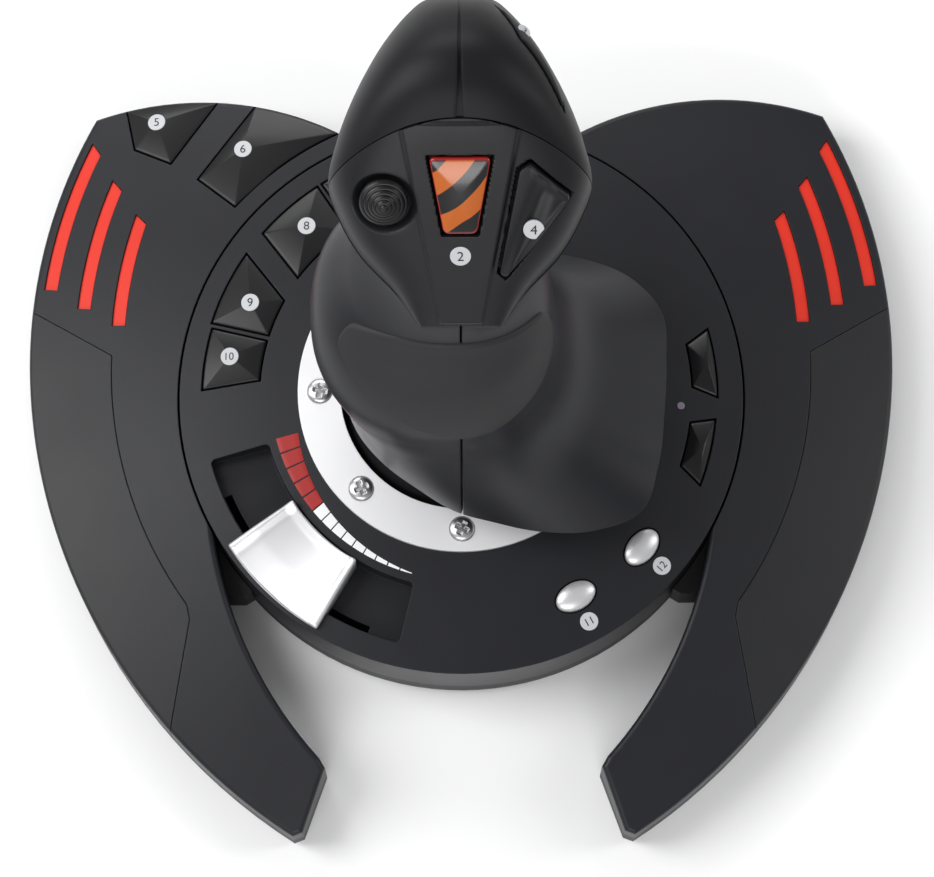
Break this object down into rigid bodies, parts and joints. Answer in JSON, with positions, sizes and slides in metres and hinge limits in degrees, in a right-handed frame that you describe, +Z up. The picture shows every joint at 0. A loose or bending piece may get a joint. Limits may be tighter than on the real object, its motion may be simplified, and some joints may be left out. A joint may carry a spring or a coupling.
{
  "type": "flight joystick",
  "caption": "Desktop flight joystick with a twisting grip on a gimbal, head buttons, hat and trigger, a throttle lever and a round base with forward claws.",
  "frame": {"origin": "on the stick's axis, in the plane of the desk that the feet stand on", "axes": "+Z up; the user sits at -Y; +X to the user's right"},
  "size_m": [0.2076, 0.1794, 0.1942],
  "materials": {
    "base_plastic": "fine-textured black ABS",
    "red_plastic": "satin red ABS",
    "silver_satin": "satin silver paint",
    "silver_gloss": "smooth silver paint",
    "steel": "plated steel",
    "rubber": "matte black rubber",
    "cast_weight": "raw steel plate",
    "board_green": "solder mask",
    "switch_black": "moulded",
    "light_pipe": "clear-grey pipe",
    "button_plastic": "satin black ABS",
    "hazard_gloss": "glossy, orange and black slanted bands",
    "inner_plastic": "natural acetal",
    "grip_plastic": "soft-sheen black",
    "pad_rubber": "soft black rubber",
    "face_plastic": "satin black ABS"
  },
  "bodies": {
    "base": {"bottom_cover": "base_plastic", "dais_cover": "base_plastic", "wing_cover_left": "base_plastic", "wing_cover_right": "base_plastic", "side_panel_left": "base_plastic", "side_panel_right": "base_plastic", "stripe_inserts_left": "red_plastic", "stripe_inserts_right": "red_plastic", "trim_ring": "silver_satin", "trim_screws": "steel", "base_screws": "steel", "rubber_feet": "rubber", "weight_plate": "cast_weight", "main_board": "board_green", "wing_board": "board_green", "tact_switches": "switch_black", "status_light": "light_pipe", "cable_inlet": "rubber", "gimbal_housing": "inner_plastic", "pitch_pot": "switch_black", "throttle_sensor": "board_green", "spring_plate": "inner_plastic", "centering_spring": "steel"},
    "gimbal_ring": {"gimbal_ring": "steel", "roll_pot": "switch_black"},
    "stick": {"stick_shaft": "inner_plastic", "pivot_dome": "grip_plastic", "twist_spring": "steel", "twist_pot": "switch_black"},
    "grip": {"handle_left": "grip_plastic", "handle_right": "grip_plastic", "palm_pad": "pad_rubber", "handle_screws": "steel", "head_shell_left": "grip_plastic", "head_shell_right": "grip_plastic", "face_plate": "face_plastic", "head_board": "board_green", "head_switches": "switch_black", "trigger_pin": "steel", "trigger_spring": "steel"},
    "trigger": {"trigger": "button_plastic"},
    "hat_pivot": {"hat_pivot": "inner_plastic"},
    "hat_cap": {"hat_cap": "button_plastic"},
    "throttle": {"throttle_lever": "silver_gloss", "throttle_carrier": "inner_plastic"},
    "button_2": {"button_2": "hazard_gloss"},
    "button_3": {"button_3": "button_plastic"},
    "button_4": {"button_4": "button_plastic"},
    "button_5": {"button_5": "button_plastic"},
    "button_6": {"button_6": "button_plastic"},
    "button_7": {"button_7": "button_plastic"},
    "button_8": {"button_8": "button_plastic"},
    "button_9": {"button_9": "button_plastic"},
    "button_10": {"button_10": "button_plastic"},
    "button_11": {"button_11": "silver_gloss"},
    "button_12": {"button_12": "silver_gloss"},
    "preset_button": {"preset_button": "button_plastic"},
    "mapping_button": {"mapping_button": "button_plastic"}
  },
  "joints": [
    {"name": "pitch", "type": "hinge", "parent": "base", "child": "gimbal_ring", "pos_m": [0, 0, 0.016], "axis": [1, 0, 0], "range_deg": [-14, 14], "stiffness_Nm_per_rad": 2.5, "deforming": ["centering_spring"]},
    {"name": "roll", "type": "hinge", "parent": "gimbal_ring", "child": "stick", "pos_m": [0, 0, 0.016], "axis": [0, 1, 0], "range_deg": [-14, 14], "stiffness_Nm_per_rad": 2.5},
    {"name": "twist", "type": "hinge", "parent": "stick", "child": "grip", "pos_m": [0, 0, 0.016], "axis": [0, 0, 1], "range_deg": [-15, 15], "stiffness_Nm_per_rad": 0.4},
    {"name": "trigger_pull", "type": "hinge", "parent": "grip", "child": "trigger", "pos_m": [0, 0.026, 0.146], "axis": [1, 0, 0], "range_deg": [-8, 0], "stiffness_Nm_per_rad": 0.25, "springref_deg": 6.88},
    {"name": "hat_up_down", "type": "hinge", "parent": "grip", "child": "hat_pivot", "pos_m": [-0.0154, 0.00676, 0.17281], "axis": [1, 0, 0], "range_deg": [-8, 8], "stiffness_Nm_per_rad": 0.05},
    {"name": "hat_left_right", "type": "hinge", "parent": "hat_pivot", "child": "hat_cap", "pos_m": [-0.0154, 0.00676, 0.17281], "axis": [0, 0.7289, 0.6846], "range_deg": [-8, 8], "stiffness_Nm_per_rad": 0.05},
    {"name": "button_2_press", "type": "slide", "parent": "grip", "child": "button_2", "axis": [0, 0.6846, -0.7289], "range_m": [0, 0.001], "stiffness_N_per_m": 350, "springref_m": -0.0008},
    {"name": "button_3_press", "type": "slide", "parent": "grip", "child": "button_3", "axis": [-0.5997, -0.3498, -0.7197], "range_m": [0, 0.0008], "stiffness_N_per_m": 350, "springref_m": -0.0008},
    {"name": "button_4_press", "type": "slide", "parent": "grip", "child": "button_4", "axis": [0, 0.6846, -0.7289], "range_m": [0, 0.001], "stiffness_N_per_m": 350, "springref_m": -0.0008},
    {"name": "button_5_press", "type": "slide", "parent": "base", "child": "button_5", "axis": [0, 0, -1], "range_m": [0, 0.001], "stiffness_N_per_m": 350, "springref_m": -0.0008},
    {"name": "button_6_press", "type": "slide", "parent": "base", "child": "button_6", "axis": [0, 0, -1], "range_m": [0, 0.001], "stiffness_N_per_m": 350, "springref_m": -0.0008},
    {"name": "button_7_press", "type": "slide", "parent": "base", "child": "button_7", "axis": [0, 0, -1], "range_m": [0, 0.001], "stiffness_N_per_m": 350, "springref_m": -0.0008},
    {"name": "button_8_press", "type": "slide", "parent": "base", "child": "button_8", "axis": [0, 0, -1], "range_m": [0, 0.001], "stiffness_N_per_m": 350, "springref_m": -0.0008},
    {"name": "button_9_press", "type": "slide", "parent": "base", "child": "button_9", "axis": [0, 0, -1], "range_m": [0, 0.001], "stiffness_N_per_m": 350, "springref_m": -0.0008},
    {"name": "button_10_press", "type": "slide", "parent": "base", "child": "button_10", "axis": [0, 0, -1], "range_m": [0, 0.001], "stiffness_N_per_m": 350, "springref_m": -0.0008},
    {"name": "button_11_press", "type": "slide", "parent": "base", "child": "button_11", "axis": [0, 0, -1], "range_m": [0, 0.001], "stiffness_N_per_m": 350, "springref_m": -0.0008},
    {"name": "button_12_press", "type": "slide", "parent": "base", "child": "button_12", "axis": [0, 0, -1], "range_m": [0, 0.001], "stiffness_N_per_m": 350, "springref_m": -0.0008},
    {"name": "preset_press", "type": "slide", "parent": "base", "child": "preset_button", "axis": [0, 0, -1], "range_m": [0, 0.001], "stiffness_N_per_m": 350, "springref_m": -0.0008},
    {"name": "mapping_press", "type": "slide", "parent": "base", "child": "mapping_button", "axis": [0, 0, -1], "range_m": [0, 0.001], "stiffness_N_per_m": 350, "springref_m": -0.0008},
    {"name": "throttle_turn", "type": "hinge", "parent": "base", "child": "throttle", "pos_m": [0, 0, 0.0105], "axis": [0, 0, 1], "range_deg": [-17, 16.5]}
  ]
}
